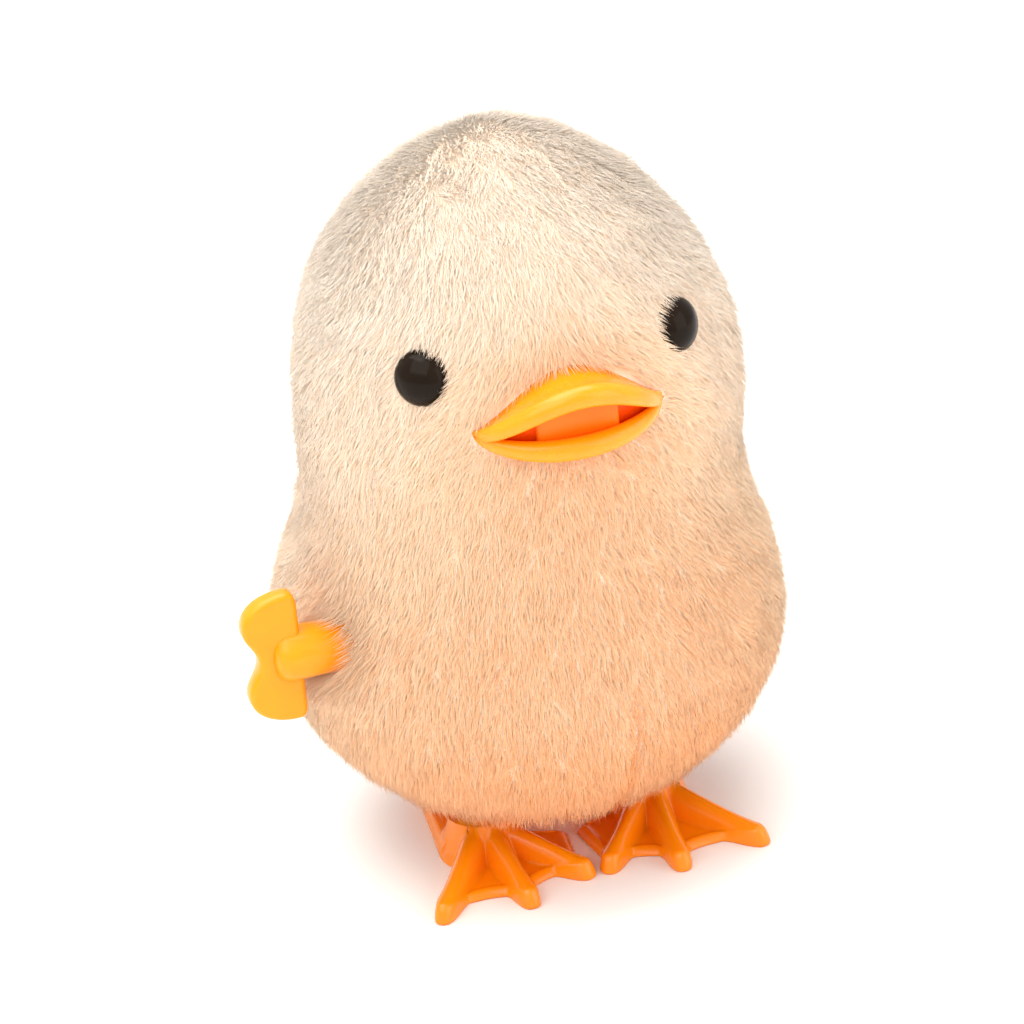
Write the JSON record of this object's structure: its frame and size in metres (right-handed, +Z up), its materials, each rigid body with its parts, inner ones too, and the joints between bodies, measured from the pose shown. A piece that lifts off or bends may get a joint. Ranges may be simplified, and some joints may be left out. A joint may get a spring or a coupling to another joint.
{
  "type": "wind-up hopping chick",
  "caption": "Plush-covered wind-up chick with a side key, an open bill and webbed feet that a clockwork movement kicks so that it hops.",
  "frame": {"origin": "under the middle of the whole toy, key included, on the surface it stands on", "axes": "+Z up; the chick faces -Y, so its own left is +X and its winding key is on -X"},
  "size_m": [0.0776, 0.068, 0.103],
  "materials": {
    "plush": "short cream pile, matt with a soft sheen",
    "orange_plastic": "glossy moulded orange",
    "key_yellow": "glossy moulded yellow-orange",
    "eye_black": "polished black",
    "shell_plastic": "natural moulded plastic",
    "case_plastic": "fine spark-eroded texture",
    "gear_plastic": "acetal, satin",
    "steel": "bright drawn steel",
    "spring_steel": "blued strip"
  },
  "bodies": {
    "body": {"plush_skin": "plush", "shell_front": "shell_plastic", "shell_back": "shell_plastic", "shell_screw_upper": "steel", "shell_screw_left": "steel", "shell_screw_right": "steel", "base_plate": "orange_plastic", "base_screw_left": "steel", "base_screw_right": "steel", "beak": "orange_plastic", "beak_washer": "steel", "eye_left": "eye_black", "eye_washer_left": "steel", "eye_right": "eye_black", "eye_washer_right": "steel", "key_bush": "shell_plastic", "case_left": "case_plastic", "case_right": "case_plastic", "case_screw_front": "steel", "case_screw_upper": "steel", "case_screw_lower": "steel", "mainspring": "spring_steel", "foot_pivot_rod": "steel", "leg_spacer_left": "gear_plastic", "leg_spacer_right": "gear_plastic", "pivot_clip_left": "steel", "pivot_clip_right": "steel"},
    "key": {"winding_key": "key_yellow", "winding_arbor": "steel", "great_wheel": "gear_plastic"},
    "second_shaft": {"second_gear": "gear_plastic", "second_pin": "steel"},
    "third_shaft": {"third_gear": "gear_plastic", "third_pin": "steel"},
    "crank": {"crank_pinion": "gear_plastic", "crank_shaft": "steel", "crank_disc_left": "gear_plastic", "crank_disc_right": "gear_plastic"},
    "left_leg": {"foot_left": "orange_plastic"},
    "right_leg": {"foot_right": "orange_plastic"}
  },
  "joints": [
    {"name": "key_turn", "type": "hinge", "parent": "body", "child": "key", "pos_m": [0.00381, -0.011, 0.038], "axis": [1, 0, 0], "continuous": true},
    {"name": "second_turn", "type": "hinge", "parent": "body", "child": "second_shaft", "pos_m": [0.00381, 0.0004, 0.03797], "axis": [1, 0, 0], "continuous": true},
    {"name": "third_turn", "type": "hinge", "parent": "body", "child": "third_shaft", "pos_m": [0.00381, 0.00257, 0.02678], "axis": [1, 0, 0], "continuous": true},
    {"name": "crank_turn", "type": "hinge", "parent": "body", "child": "crank", "pos_m": [0.00381, -0.008, 0.0225], "axis": [1, 0, 0], "continuous": true},
    {"name": "left_foot_swing", "type": "hinge", "parent": "body", "child": "left_leg", "pos_m": [0.00381, -0.008, 0.014], "axis": [1, 0, 0], "range_deg": [-6, 6]},
    {"name": "right_foot_swing", "type": "hinge", "parent": "body", "child": "right_leg", "pos_m": [0.00381, -0.008, 0.014], "axis": [1, 0, 0], "range_deg": [-6, 6]}
  ],
  "couplings": [
    {"joint": "second_turn", "follows": "key_turn", "ratio": -3},
    {"joint": "third_turn", "follows": "key_turn", "ratio": 9},
    {"joint": "crank_turn", "follows": "key_turn", "ratio": -27},
    {"joint": "right_foot_swing", "follows": "left_foot_swing", "ratio": 1}
  ]
}
